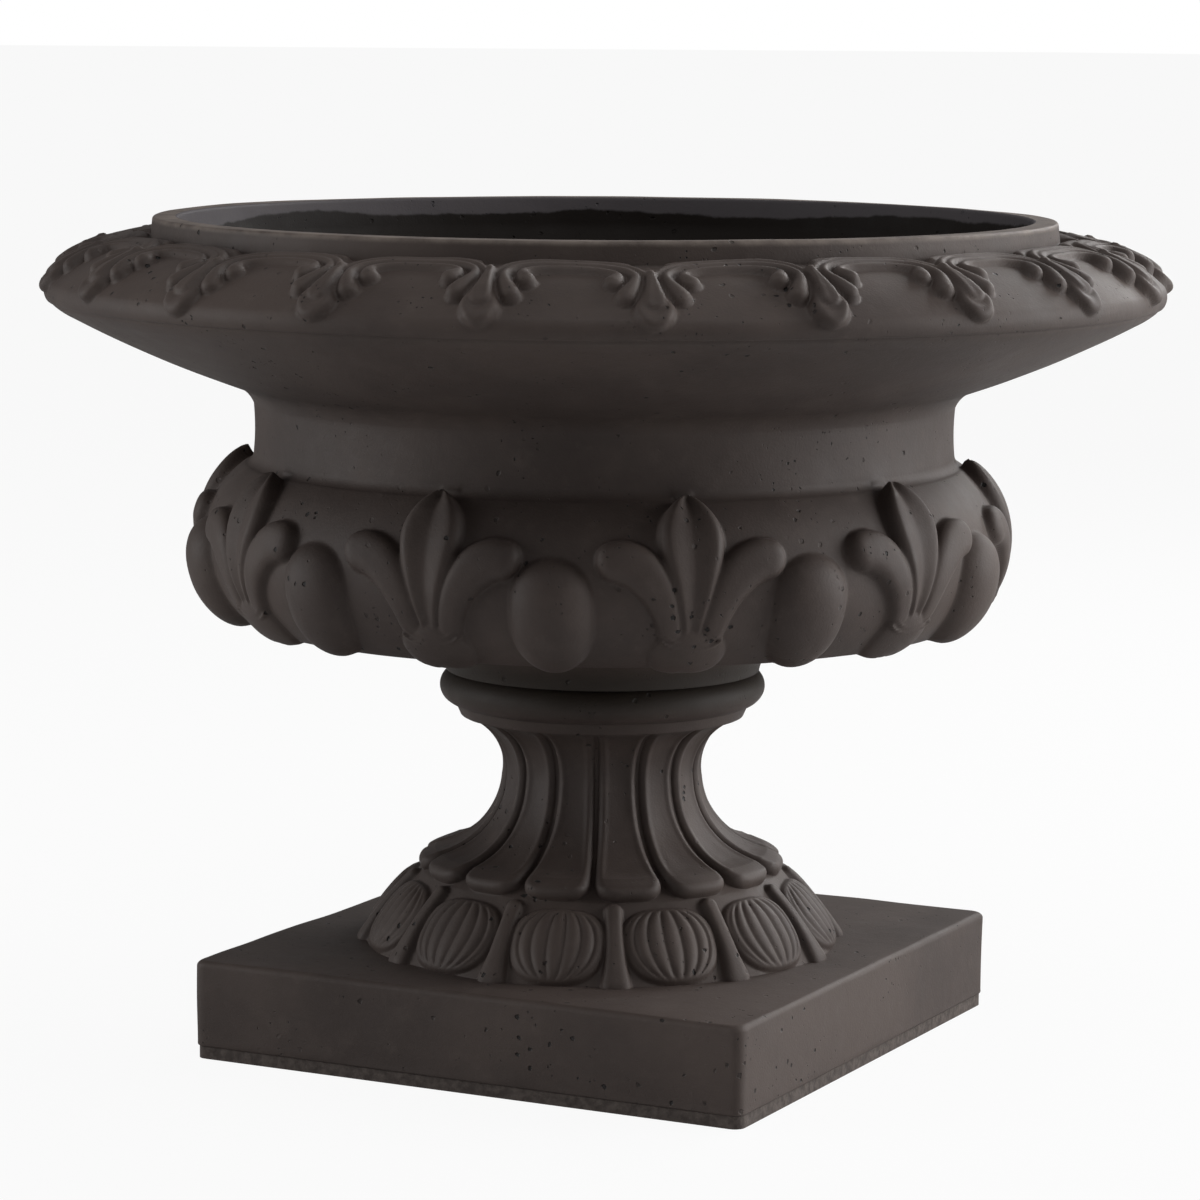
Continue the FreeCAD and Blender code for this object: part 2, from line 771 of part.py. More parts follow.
# ---------------------------------------------------------------- check and write
pieces = [
    bowlPiece,
    pedestalPiece,
    screed,
    settingRing,
    drainPipe,
    drainBush,
    grate,
    rimHoop,
    bellyHoop,
    shaftRods,
    plinthHoop,
]
for thing in doc.Objects:
    if "Invalid" in thing.State or "Error" in thing.State:
        raise RuntimeError("%s did not build: %s" % (thing.Name, thing.State))
os.makedirs("parts", exist_ok=True)
for piece in pieces:
    if piece.Shape.isNull() or not piece.Shape.isValid():
        raise RuntimeError("%s has no sound shape" % piece.Label)
    piece.Shape.exportStep("parts/%s.step" % piece.Label)
    print(piece.Label, len(piece.Shape.Solids), "solid, litres", round(piece.Shape.Volume / 1e6, 4))
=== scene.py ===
import math

import bpy
import numpy as np
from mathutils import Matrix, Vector


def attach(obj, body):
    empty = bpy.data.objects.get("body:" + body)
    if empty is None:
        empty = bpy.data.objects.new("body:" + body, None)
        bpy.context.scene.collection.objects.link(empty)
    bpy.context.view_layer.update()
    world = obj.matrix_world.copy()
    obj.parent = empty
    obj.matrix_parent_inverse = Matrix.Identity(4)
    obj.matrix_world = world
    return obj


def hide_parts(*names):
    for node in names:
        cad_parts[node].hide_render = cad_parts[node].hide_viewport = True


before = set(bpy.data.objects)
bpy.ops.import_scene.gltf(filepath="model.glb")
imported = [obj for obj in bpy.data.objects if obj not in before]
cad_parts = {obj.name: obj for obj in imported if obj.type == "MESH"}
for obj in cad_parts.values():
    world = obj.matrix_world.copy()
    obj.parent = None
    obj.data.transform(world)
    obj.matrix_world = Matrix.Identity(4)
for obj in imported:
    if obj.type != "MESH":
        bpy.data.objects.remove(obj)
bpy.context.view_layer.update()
mm = 0.001
print("frame loaded:", ", ".join(sorted(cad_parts)))


# outlines: (across, up, radius of the stretch that follows, spacing of its rows), in mm
# a positive radius bulges to the right of travel, and 0 is straight

def roundStretch(start, end, radius, count):
    start, end = np.array(start, float), np.array(end, float)
    shares = np.linspace(0, 1, count + 1)[:-1]
    if radius == 0:
        return start + (end - start) * shares[:, None]
    chord = end - start
    length = np.hypot(*chord)
    right = np.array([chord[1], -chord[0]]) / length
    reach = math.sqrt(radius ** 2 - (length / 2) ** 2) * math.copysign(1, radius)
    centre = (start + end) / 2 - right * reach
    first = math.atan2(start[1] - centre[1], start[0] - centre[0])
    last = math.atan2(end[1] - centre[1], end[0] - centre[0])
    sweep = (last - first + math.pi) % (2 * math.pi) - math.pi
    turns = first + sweep * shares
    return centre + abs(radius) * np.stack([np.cos(turns), np.sin(turns)], 1)


class Outline:
    # rows of a turned skin, with the way out of the stone and the distance along the outline

    def __init__(self, corners):
        parts, self.starts, total = [], [], 0
        for (x0, z0, radius, spacing), (x1, z1, *_) in zip(corners, corners[1:]):
            count = max(1, math.ceil(math.hypot(x1 - x0, z1 - z0) / spacing))
            parts.append(roundStretch((x0, z0), (x1, z1), radius, count))
            self.starts.append(total)
            total += count
        parts.append(np.array([corners[-1][:2]], float))
        self.starts.append(total)
        self.points = np.concatenate(parts)
        along = np.gradient(self.points, axis=0)
        out = np.stack([along[:, 1], -along[:, 0]], 1)
        self.out = out / np.linalg.norm(out, axis=1)[:, None]
        self.distance = np.concatenate([[0], np.cumsum(np.hypot(*np.diff(self.points, axis=0).T))])

    def mark(self, corner):
        return self.distance[self.starts[corner]]

    def columns(self):
        return [row[:, None] for row in (*self.points.T, *self.out.T, self.distance)]


# relief stamps: heights over a small patch, in mm across and along the outline

def smoothPath(points, spacing):
    knots = np.array(points, float)
    padded = np.concatenate([2 * knots[:1] - knots[1:2], knots, 2 * knots[-1:] - knots[-2:-1]])
    pieces = []
    for a, b, c, d in zip(padded, padded[1:], padded[2:], padded[3:]):
        count = max(2, int(np.hypot(*(c - b)[:2]) / spacing))
        t = np.linspace(0, 1, count + 1)[:-1, None]
        pieces.append(0.5 * (2 * b + (c - a) * t + (2 * a - 5 * b + 4 * c - d) * t ** 2
                             + (3 * b - a - 3 * c + d) * t ** 3))
    pieces.append(knots[-1:])
    return np.concatenate(pieces)


def domed(u):
    return np.sqrt(np.clip(1 - u ** 2, 0, 1))


def paddled(u):
    return np.sqrt(np.clip(1 - np.abs(u) ** 3, 0, 1))


def cupped(u):
    return np.sqrt(np.clip(1 - u ** 4, 0, 1)) * (0.58 + 0.42 * np.clip(np.abs(u) / 0.72, 0, 1) ** 1.4)


def blurred(heights, rounds):
    for _ in range(rounds):
        for axis in (0, 1):
            heights = (np.roll(heights, 1, axis) + 2 * heights + np.roll(heights, -1, axis)) / 4
    return heights


class Stamp:
    def __init__(self, halfWidth, low, high, pitch=0.4):
        self.pitch, self.left, self.low = pitch, -halfWidth, low
        self.across, self.along = np.meshgrid(
            np.arange(-halfWidth, halfWidth + pitch, pitch), np.arange(low, high + pitch, pitch))
        self.heights = np.zeros_like(self.across)

    def stroke(self, points, section, mirrored=False, add=False):
        for side in (1, -1) if mirrored else (1,):
            path = smoothPath([(side * x, s, w, h) for x, s, w, h in points], 0.7)
            nearest = np.full(self.across.shape, 9.0)
            height = np.zeros_like(nearest)
            for x, s, w, h in path:
                far = np.hypot(self.across - x, self.along - s) / max(w, 0.1)
                closer = far < nearest
                nearest[closer], height[closer] = far[closer], h
            raised = height * section(np.minimum(nearest, 1))
            if add:
                self.heights += raised
            else:
                self.heights = np.maximum(self.heights, raised)

    def finish(self, rounds=2):
        self.heights = blurred(self.heights, rounds)
        return self

    def sample(self, across, along):
        column = np.clip((across - self.left) / self.pitch, 0, self.heights.shape[1] - 1.001)
        row = np.clip((along - self.low) / self.pitch, 0, self.heights.shape[0] - 1.001)
        i, j = row.astype(int), column.astype(int)
        v, u = row - i, column - j
        h = self.heights
        return ((h[i, j] * (1 - u) + h[i, j + 1] * u) * (1 - v)
                + (h[i + 1, j] * (1 - u) + h[i + 1, j + 1] * u) * v)


def repeated(angles, first, count):
    # degrees from the nearest of several copies spread evenly, and which copy that is
    pitch = 360 / count
    copy = np.round((angles - first) / pitch)
    return angles - first - copy * pitch, copy.astype(int) % count


def castLuck(copy, seed, size):
    # a number near 1 for each copy of an ornament, as no two casts are alike
    rng = np.random.default_rng(seed)
    return (1 + size * rng.uniform(-1, 1, 40))[copy]


def unevenness(angles, distance, seed, size):
    # slow hand-cast waviness of a turned skin
    rng = np.random.default_rng(seed)
    waves = np.zeros(np.broadcast(angles, distance).shape)
    for turns in (1, 2, 3, 5, 8, 13, 21, 34):
        for _ in range(2):
            along = rng.uniform(0.5, 1.6) * turns / 190
            waves = waves + np.sin(
                np.radians(angles) * turns + distance * along + rng.uniform(0, 6.3)) / turns ** 0.6
    return waves * size / 2.2


# meshes from grids of points

def gridNormals(points):
    around = np.roll(points, -1, 1) - np.roll(points, 1, 1)
    along = np.gradient(points, axis=0)
    normals = np.cross(around, along)
    return normals / np.maximum(np.linalg.norm(normals, axis=2), 1e-12)[..., None]


def gridMesh(name, points, normals, wrapped):
    rows, columns = points.shape[:2]
    mesh = bpy.data.meshes.new(name)
    index = np.arange(rows * columns).reshape(rows, columns)
    ahead = np.roll(index, -1, 1) if wrapped else index[:, 1:]
    here = index if wrapped else index[:, :-1]
    quads = np.stack([here[:-1], ahead[:-1], ahead[1:], here[1:]], -1).reshape(-1, 4)
    mesh.vertices.add(rows * columns)
    mesh.vertices.foreach_set("co", (points * mm).astype(np.float32).ravel())
    mesh.loops.add(quads.size)
    mesh.loops.foreach_set("vertex_index", quads.astype(np.int32).ravel())
    mesh.polygons.add(len(quads))
    mesh.polygons.foreach_set("loop_start", np.arange(0, quads.size, 4, dtype=np.int32))
    mesh.polygons.foreach_set("use_smooth", np.ones(len(quads), bool))
    mesh.update(calc_edges=True)
    mesh.validate()
    mesh.normals_split_custom_set_from_vertices(normals.reshape(-1, 3).astype(np.float32).tolist())
    piece = bpy.data.objects.new(name, mesh)
    bpy.context.scene.collection.objects.link(piece)
    return piece


def turned(radius, up, angles):
    turn = np.radians(angles)
    return np.stack([radius * np.sin(turn), -radius * np.cos(turn), up * np.ones_like(turn)], -1)


def skinPieces(bands, points, normals, material, body, nodes):
    # a skin cut into bands of rows and, where a band is dense, into halves
    for name, low, high, halves in bands:
        columns = points.shape[1]
        for part in range(halves):
            chosen = np.arange(part * columns // halves, (part + 1) * columns // halves + 1) % columns
            if halves == 1:
                chosen = np.arange(columns)
            label = name if halves == 1 else f"{name}_{'ab'[part]}"
            piece = gridMesh(label, points[low:high + 1][:, chosen], normals[low:high + 1][:, chosen],
                             halves == 1)
            dress(piece, material, body, nodes)


def dress(piece, material, body, nodes):
    piece.data.materials.clear()
    piece.data.materials.append(material)
    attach(piece, body)
    if nodes:
        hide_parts(*nodes)


# finishes

class Wire:
    # a socket that can be added to, multiplied and so on

    def __init__(self, finish, socket):
        self.finish, self.socket = finish, socket

    def maths(self, operation, first, second):
        return self.finish.node("ShaderNodeMath", {"operation": operation}, {0: first, 1: second})

    def __add__(self, other):
        return self.maths("ADD", self, other)

    __radd__ = __add__

    def __mul__(self, other):
        return self.maths("MULTIPLY", self, other)

    __rmul__ = __mul__

    def __sub__(self, other):
        return self.maths("SUBTRACT", self, other)

    def __rsub__(self, other):
        return self.maths("SUBTRACT", other, self)


class Finish:
    # the node tree of a new material, or of an owner such as a world

    def __init__(self, name, owner=None):
        self.material = owner or bpy.data.materials.new(name)
        self.material.use_nodes = True
        self.tree = self.material.node_tree
        self.tree.nodes.clear()

    def node(self, kind, settings=None, sockets=None, out=0):
        made = self.tree.nodes.new(kind)
        for key, value in (settings or {}).items():
            setattr(made, key, value)
        for key, value in (sockets or {}).items():
            if isinstance(value, Wire):
                self.tree.links.new(value.socket, made.inputs[key])
            else:
                made.inputs[key].default_value = value
        return Wire(self, made.outputs[out]) if len(made.outputs) else made

    def place(self):
        return self.node("ShaderNodeTexCoord", out="Object")

    def noise(self, scale, detail, rough=0.55, place=None):
        return self.node("ShaderNodeTexNoise", {}, {
            "Vector": place or self.place(), "Scale": scale, "Detail": detail, "Roughness": rough,
            "Distortion": 0}, out="Fac")

    def spread(self, value, low, high):
        return self.node("ShaderNodeMapRange", {"interpolation_type": "SMOOTHSTEP"}, {
            "Value": value, "From Min": low, "From Max": high, "To Min": 0, "To Max": 1})

    def blend(self, share, first, second):
        first, second = (c if isinstance(c, Wire) else (*c, 1) for c in (first, second))
        return self.node("ShaderNodeMix", {"data_type": "RGBA"}, {0: share, 6: first, 7: second}, out=2)

    def bump(self, height, distance, strength=1):
        return self.node("ShaderNodeBump", {}, {
            "Height": height, "Distance": distance, "Strength": strength})

    def surface(self, **sockets):
        shader = self.node("ShaderNodeBsdfPrincipled", {}, {
            key.replace("_", " "): value for key, value in sockets.items()})
        self.node("ShaderNodeOutputMaterial", {}, {"Surface": shader})
        return self.material


def grey(red, green, blue):
    # a colour given as it shows on a screen, 0 to 255
    return tuple((c / 255 / 12.92 if c < 10.3 else ((c / 255 + 0.055) / 1.055) ** 2.4)
                 for c in (red, green, blue))


castStone = {
    "body": grey(76, 65, 60),
    "pale": grey(88, 78, 73),
    "deep": grey(63, 53, 49),
    "dust": grey(126, 114, 105),
    # painted shade inside the air holes
    "pitShade": grey(10, 8, 7),
    "clouds": (9, 5, 0.6),  # scale, detail and roughness of a noise
    "mottle": (60, 6, 0.65),
    "grain": (700, 3, 0.6),
    "pitPatches": (16, 3, 0.5),
    "pinPatches": (30, 3, 0.5),
    "pits": (150, 0.24, 0.24),  # cells to a metre, size within a cell, share of the cells
    "pins": (420, 0.30, 0.10),
    "pitWarp": (300, 0.003),
    # low and high end of a soft step, then how much of it shows
    "paleSpots": (0.5, 0.8, 0.45),
    "edges": (0.53, 0.60, 0.5),
    # painted shade in the hollows
    "hollowShade": (0.49, 0.42, 0.5),
    "pitGrounds": (0.46, 0.60),
    "pinGrounds": (0.5, 0.66),
    "reliefShares": (0.25, 0.5, 0.6, 2.6),  # of grain, mottle, clouds and holes
    "reliefDepth": 0.0006,
    "roughness": 0.50,
    "gloss": 0.42,
    "seatShade": grey(40, 32, 24),  # painted shade at the seat between bowl and pedestal, where the bowl shadows the pedestal's head
    "seatShadeFoot": (0.199, 0.211),
    "seatShadeTop": (0.234, 0.219),
    "seatShadeShare": 0.9,
    # wear and dust on the lip's top edge, partly a painted highlight where the top light falls on it
    "lipWearAndHighlight": grey(150, 138, 128),
    "lipTop": (0.4735, 0.4760),
    "wearAndHighlightShare": 0.45,
}
sealer = {
    "colour": grey(20, 14, 10),
    "skim": grey(80, 78, 82),  # the bare band above it
    "skimShare": 0.7,
    "top": 0.468,
    "softness": 0.001,
    "sway": (7, 2, 0.4),
    "swayHeight": 0.024,
    "ragged": (70, 5, 0.6),
    "raggedHeight": 0.004,
    "gloss": 0.16,
}


def pits(stone, place, scale, size, share):
    # round air holes in some of the cells, with uneven edges
    warpScale, warpReach = castStone["pitWarp"]
    sway = stone.node("ShaderNodeTexNoise", {}, {"Vector": place, "Scale": warpScale}, out="Color")
    shift = stone.node("ShaderNodeVectorMath", {"operation": "SCALE"}, {0: sway, "Scale": warpReach})
    warped = stone.node("ShaderNodeVectorMath", {"operation": "ADD"}, {0: place, 1: shift})
    cell = {"Vector": warped, "Scale": scale}
    away = stone.node("ShaderNodeTexVoronoi", {}, cell, out="Distance")
    lot = stone.node("ShaderNodeTexVoronoi", {}, cell, out="Color")
    chance = stone.node("ShaderNodeSeparateColor", {}, {"Color": lot}, out="Red")
    kept = stone.node("ShaderNodeMath", {"operation": "GREATER_THAN"}, {0: chance, 1: 1 - share})
    return stone.spread(away, size, size * 0.55) * kept


def makeCastStone(name, sealed=False):
    stone = Finish(name)
    place = stone.place()
    names = ("clouds", "mottle", "grain", "pitPatches", "pinPatches")
    clouds, mottle, grain, pitPatches, pinPatches = (stone.noise(*castStone[k], place) for k in names)
    geometry = stone.node("ShaderNodeNewGeometry", out="Pointiness")

    def soft(value, key):
        low, high, share = castStone[key]
        return stone.spread(value, low, high) * share

    colour = stone.blend(stone.spread(clouds, 0.35, 0.68), castStone["deep"], castStone["body"])
    colour = stone.blend(soft(mottle, "paleSpots"), colour, castStone["pale"])
    # painted shade: concave places, found by low pointiness, blended towards the deep colour
    colour = stone.blend(soft(geometry, "hollowShade"), colour, castStone["deep"])
    dusty = soft(geometry, "edges") * stone.spread(mottle, 0.35, 0.6)
    colour = stone.blend(dusty, colour, castStone["dust"])
    holes = pits(stone, place, *castStone["pits"]) * stone.spread(pitPatches, *castStone["pitGrounds"])
    pins = pits(stone, place, *castStone["pins"]) * stone.spread(pinPatches, *castStone["pinGrounds"])
    hole = stone.node("ShaderNodeMath", {"operation": "MAXIMUM"}, {0: holes, 1: pins})
    # painted shade: the air holes and pinholes coloured near black, as their insides lie in shade
    colour = stone.blend(hole * 0.9, colour, castStone["pitShade"])
    a, b, c, d = castStone["reliefShares"]
    relief = grain * a + mottle * b + clouds * c - hole * d
    roughness = castStone["roughness"] + mottle * 0.2 + grain * 0.1
    level = stone.node("ShaderNodeSeparateXYZ", {}, {0: place}, out="Z")
    if sealed:
        top, softness = sealer["top"], sealer["softness"]
        sway = (stone.noise(*sealer["sway"], place) - 0.5) * sealer["swayHeight"]
        ragged = (stone.noise(*sealer["ragged"], place) - 0.5) * sealer["raggedHeight"]
        coated = stone.spread(level + (sway + ragged), top + softness, top - softness)
        colour = stone.blend(sealer["skimShare"], colour, sealer["skim"])
        colour = stone.blend(coated, colour, sealer["colour"])
    else:
        # painted shade: a dark band at the seat, about z 0.2 to 0.23 m, where the bowl shadows the
        # pedestal's head and the crevice between them
        seatShadeMask = stone.spread(level + mottle * 0.004, *castStone["seatShadeFoot"])
        seatShadeMask = seatShadeMask * stone.spread(level, *castStone["seatShadeTop"])
        colour = stone.blend(seatShadeMask * castStone["seatShadeShare"], colour, castStone["seatShade"])
        # the lip's top edge paled: partly wear and dust, partly a painted highlight from the light
        # above
        wornAndHighlit = stone.spread(level, *castStone["lipTop"]) * stone.spread(mottle, 0.2, 0.75)
        colour = stone.blend(wornAndHighlit * castStone["wearAndHighlightShare"], colour, castStone["lipWearAndHighlight"])
    return stone.surface(**{
        "Base_Color": colour, "Roughness": roughness,
        "Specular_IOR_Level": sealer["gloss"] if sealed else castStone["gloss"],
        "Normal": stone.bump(relief, castStone["reliefDepth"], 0.9)})


def plainFinish(name, colour, other, scale, roughness, metallic=0, depth=0.0003):
    finish = Finish(name)
    speckle = finish.noise(scale, 5)
    return finish.surface(**{
        "Base_Color": finish.blend(finish.spread(speckle, 0.35, 0.65), colour, other),
        "Roughness": roughness + speckle * 0.15, "Metallic": metallic,
        "Normal": finish.bump(speckle, depth, 0.8)})


castStoneFinish = makeCastStone("cast_stone")
insideFinish = makeCastStone("cast_stone_inside", sealed=True)
screedFinish = plainFinish("screed_stone", grey(62, 53, 49), grey(86, 77, 72), 180, 0.7, depth=0.0012)
rubberFinish = plainFinish("setting_rubber", grey(22, 22, 22), grey(34, 33, 32), 300, 0.6)
drainFinish = plainFinish("drain_plastic", grey(38, 38, 40), grey(48, 48, 50), 400, 0.4)
hoopFinish = plainFinish("hoop_steel", grey(92, 66, 50), grey(120, 104, 92), 300, 0.55, metallic=0.7)
print("finishes made")


# the bowl

bowl = {
    "columns": 1680,
    "insideColumns": 420,
    "outline": [
        (91, 215.7, -24, 1.6),
        (112, 235, 0, 3.4),
        (204, 246.4, 52.6, 1.1),
        (206.7, 335.4, -7, 0.8),
        (201.5, 342.8, -150, 2.6),
        (201.5, 370.4, -20, 1.6),
        (214, 381.9, 700, 2.5),
        (306, 421.9, 40, 0.9),
        (317.6, 430, 9, 0.8),
        (318.2, 440.5, 78, 1.1),
        (260, 463.5, 0, 1.6),
        (258.8, 475.2, 1.9, 0.7),
        (257, 476.9, 0, 3),
        (245.6, 476.9, 0, 3),
    ],
    "inside": [
        (245.6, 476.9, 1.8, 0.8),
        (243.8, 475, 0, 4),
        (241.5, 457.9, 0, 4),
        (185, 370.4, 0, 5),
        (185, 336.4, 0, 5),
        (181, 287.4, -36, 5),
        (145, 251.4, 0, 8),
        (32.4, 251.4, 0, 2),
        (32.4, 248.4, 0, 3),
        (23.1, 248.4, 0, 6),
        (23.1, 217.4, 0, 8),
        (87, 217.4, 0, 1.5),
        (90.8, 215.8, 0, 8),
    ],
    "rimGirth": 67.9,
    "underhang": 0.5,
    "waviness": 0.35,
    "insideWaviness": 0.6,
}
pendants = {
    "count": 22,
    "first": -1.15,
    # strokes: (across, along, half width, height) from end to end
    "leaf": [(0, 38, 2.6, 4.0), (0, 31, 4.1, 4.2), (0, 23, 5.8, 4.4), (0, 15.5, 8.0, 5.4),
             (0, 8.6, 10.3, 6.2)],
    "drop": [(0, 39, 2.2, 2.8), (0.2, 29, 3.2, 3.2), (0.3, 19, 4.6, 3.6), (0.3, 12.6, 5.3, 3.2)],
    "innerSwag": [(13.6, 18.2, 5.8, 6.4), (11.6, 22.6, 5.3, 6.2), (9.2, 28.5, 4.2, 5.6),
                  (8.0, 34.5, 3.4, 4.8), (9.0, 40, 3.1, 4.2), (13.0, 45.4, 3.0, 4.0),
                  (20, 49.6, 3.2, 3.8), (30, 52.4, 3.8, 3.7), (48, 53.4, 4.4, 3.7)],
    "outerSwag": [(20.0, 30.6, 5.7, 6.0), (18.3, 34.0, 4.8, 5.4), (17.6, 37.4, 3.7, 4.6),
                  (19.0, 41.0, 3.1, 4.0), (23.5, 44.4, 2.9, 3.6), (31, 46.8, 3.0, 3.4),
                  (48, 48.0, 3.2, 3.4)],
    "topSwag": [(1.5, 37, 2.8, 3.8), (4.5, 42.5, 2.8, 3.8), (9.5, 48.5, 3.0, 4.0), (18, 53.6, 3.2, 4.2),
                (28, 56.2, 3.4, 4.3), (48, 57, 3.5, 4.3)],
    "crest": [(12, 58, 3.2, 2.8), (22, 62, 5, 3.2), (48, 64, 6, 3.4)],
    "creaseFall": 8.6,
    "creaseDepth": 1.0,
    "creaseWidth": 1.1,
    "panelRise": 0.7,
    "patch": (46, -14, 74),  # half width, low and high end of the stamp
    "spreadRadius": 300,
    "bounds": (6, 1),  # below the cone's end and above the lip's foot
    "luck": (0.16, 0.9, 0.9),  # of height, across and along
}
fleurs = {
    "count": 10,
    "first": 2.9,
    "lancet": [(0, 24, 4.2, 5.4), (0, 34, 5.4, 5.6), (0, 43, 7.5, 6.0), (0, 52, 10.0, 6.6),
               (0, 61, 12.8, 7.2), (0, 70, 15.8, 7.8), (0, 78.5, 17.8, 8.4), (0, 85, 17.2, 8.8),
               (0, 92, 13.4, 9.2), (0, 98.5, 8.2, 9.2), (0, 103.5, 3.4, 8.6)],
    "petal": [(11.2, 31, 6.8, 5.2), (13.8, 42, 7.9, 5.6), (17.4, 51.5, 9.4, 6.2),
              (22.4, 59.6, 10.8, 6.8), (28.8, 66.4, 11.9, 7.4), (35.8, 69.8, 11.8, 7.8),
              (41.0, 70.2, 11.0, 7.8)],
    "band": [(13.8, 30.2, 1.2, 5.6), (10.8, 27.8, 1.2, 6.2), (6, 26.0, 1.2, 6.7),
             (0, 25.4, 1.2, 6.9)],
    "lowerBand": [(16.4, 27.0, 1.2, 6.2), (12.6, 24.4, 1.2, 6.9), (7, 22.6, 1.2, 7.4),
                  (0, 22.0, 1.2, 7.6)],
    "lobe": [(0, 15.5, 20.6, 7.4), (0, 11, 19.4, 7.8), (0, 6.5, 15.5, 7.6), (0, 3, 10.5, 6.5)],
    "patch": (60, -8, 112),
    "leastRadius": 190,
    "fade": (10, 4),  # past the neck's foot, and over how far
    "luck": (0.08, 1.2),  # of height and along
}
eggs = {
    "count": 10,
    "first": 20.1,
    "centre": (218, 275),
    "length": 34.5,
    "width": 24.6,
    "depth": 21,
    "lean": 14,
    "taper": 0.15,
    "fullness": 1.2,
    "patch": (30, -34, 84),
    "reach": 20,
    "halfHeight": 40,
    "tipPower": 1.25,
    "bounds": (34, 12),  # below the belly's foot and above the neck's
    "luck": (0.06, 1.0),  # of height and across
}

outline = Outline(bowl["outline"])
bellyFoot, neckFoot, coneEnd, lipFoot = (outline.mark(k) for k in (2, 3, 7, 10))
rimPoint = lipFoot - bowl["rimGirth"]

pendantStamp = Stamp(*pendants["patch"])
pendantStamp.stroke(pendants["crest"], domed, mirrored=True)
for name in ("topSwag", "innerSwag", "outerSwag"):
    pendantStamp.stroke(pendants[name], domed, mirrored=True)
pendantStamp.stroke(pendants["leaf"], cupped)
pendantStamp.stroke(pendants["drop"], domed, add=True)
pendantStamp.finish()

fleurStamp = Stamp(*fleurs["patch"])
fleurStamp.stroke(fleurs["lobe"], domed)
fleurStamp.stroke(fleurs["petal"], paddled, mirrored=True)
fleurStamp.stroke(fleurs["lancet"], cupped)
for name in ("band", "lowerBand"):
    fleurStamp.stroke(fleurs[name], domed, mirrored=True)
fleurStamp.finish()


def eggStamp():
    # how far an egg, leaning with its top outward, stands out of the belly
    stamp = Stamp(*eggs["patch"])
    s = stamp.along + bellyFoot
    radius, up, outR, outZ = (
        np.interp(s, outline.distance, row) for row in (*outline.points.T, *outline.out.T))
    turn = stamp.across / radius
    lean = math.radians(eggs["lean"])
    centreR, centreZ = eggs["centre"]
    start = np.stack([radius * np.cos(turn) - centreR, radius * np.sin(turn), up - centreZ])
    way = np.stack([outR * np.cos(turn), outR * np.sin(turn), outZ])

    def inEgg(v):
        deep = v[0] * math.cos(lean) - v[2] * math.sin(lean)
        tall = v[0] * math.sin(lean) + v[2] * math.cos(lean)
        rise = np.clip(tall / eggs["length"], -1, 1)
        narrow = 1 + eggs["taper"] * rise
        tall = np.where(rise > 0, np.abs(rise) ** eggs["tipPower"], rise)
        return np.stack([deep / eggs["depth"], v[1] / eggs["width"] / narrow, tall])

    for step in np.linspace(0, eggs["reach"], 81):
        place = start + way * step
        inside = ((inEgg(place) ** 2).sum(0) < 1) & (np.abs(place[2]) < eggs["halfHeight"])
        stamp.heights[inside] = step
    tallest = stamp.heights.max()
    stamp.heights = tallest * (1 - (1 - stamp.heights / tallest) ** eggs["fullness"])
    return stamp.finish(3)


eggRelief = eggStamp()


def bowlRelief(angles, distance, radius):
    # heights of the whole ornament, in mm out of the plain casting
    away, copy = repeated(angles, pendants["first"], pendants["count"])
    own = np.clip(2 - np.abs(away) * pendants["count"] / 90, 0, 1)  # fades where neighbours join
    raised, aside, along = (
        own * (castLuck(copy, seed, size) - 1) for seed, size in zip((1, 2, 3), pendants["luck"]))
    pendant = (1 + raised) * pendantStamp.sample(
        np.radians(away) * pendants["spreadRadius"] + aside, distance - rimPoint + along)
    below, above = pendants["bounds"]
    heights = np.where((distance > coneEnd - below) & (distance < lipFoot + above), pendant, 0)
    fall = distance - rimPoint + pendants["creaseFall"]
    panel = np.clip(fall / 1.5, 0, 1) * np.clip((lipFoot - distance) / 6, 0, 1)
    crease = np.exp(-(fall / pendants["creaseWidth"]) ** 2)
    rim = pendants["panelRise"] * panel - pendants["creaseDepth"] * crease
    heights = heights + np.where(distance > coneEnd, rim, 0)

    away, copy = repeated(angles, fleurs["first"], fleurs["count"])
    raised, along = (castLuck(copy, seed, size) for seed, size in zip((4, 5), fleurs["luck"]))
    fleur = raised * fleurStamp.sample(
        np.radians(away) * np.maximum(radius, fleurs["leastRadius"]), distance - bellyFoot + along - 1)
    away, copy = repeated(angles, eggs["first"], eggs["count"])
    raised, aside = (castLuck(copy, seed, size) for seed, size in zip((6, 7), eggs["luck"]))
    egg = raised * eggRelief.sample(np.radians(away) * radius + aside - 1, distance - bellyFoot)
    past, over = fleurs["fade"]
    fade = np.clip((neckFoot + past - distance) / over, 0, 1)
    below, above = eggs["bounds"]
    belly = (distance > bellyFoot - below) & (distance < neckFoot + above)
    return np.where(belly, np.maximum(fleur * fade, egg), heights)


